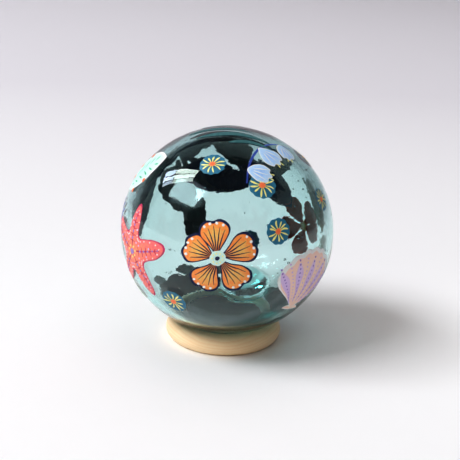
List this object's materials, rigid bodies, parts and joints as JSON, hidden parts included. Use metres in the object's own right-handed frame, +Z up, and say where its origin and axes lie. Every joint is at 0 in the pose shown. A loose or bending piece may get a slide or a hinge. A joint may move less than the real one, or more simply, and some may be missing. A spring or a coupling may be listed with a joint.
{
  "type": "glass float on a ring stand",
  "caption": "Closed ball of clear teal glass with painted flowers and shells, resting in a low turned wooden ring.",
  "frame": {"origin": "on the table under the middle of the ring", "axes": "+Z up, front towards -Y, +X to the right seen from the front"},
  "size_m": [0.12, 0.12, 0.1228],
  "materials": {
    "float_glass": "clear pale teal blown glass, smooth and bright, with painted motifs",
    "turned_wood": "pale bare wood, fine turning lines, smooth and matt"
  },
  "bodies": {
    "root": {"glass_float": "float_glass", "ring_stand": "turned_wood"}
  },
  "joints": []
}
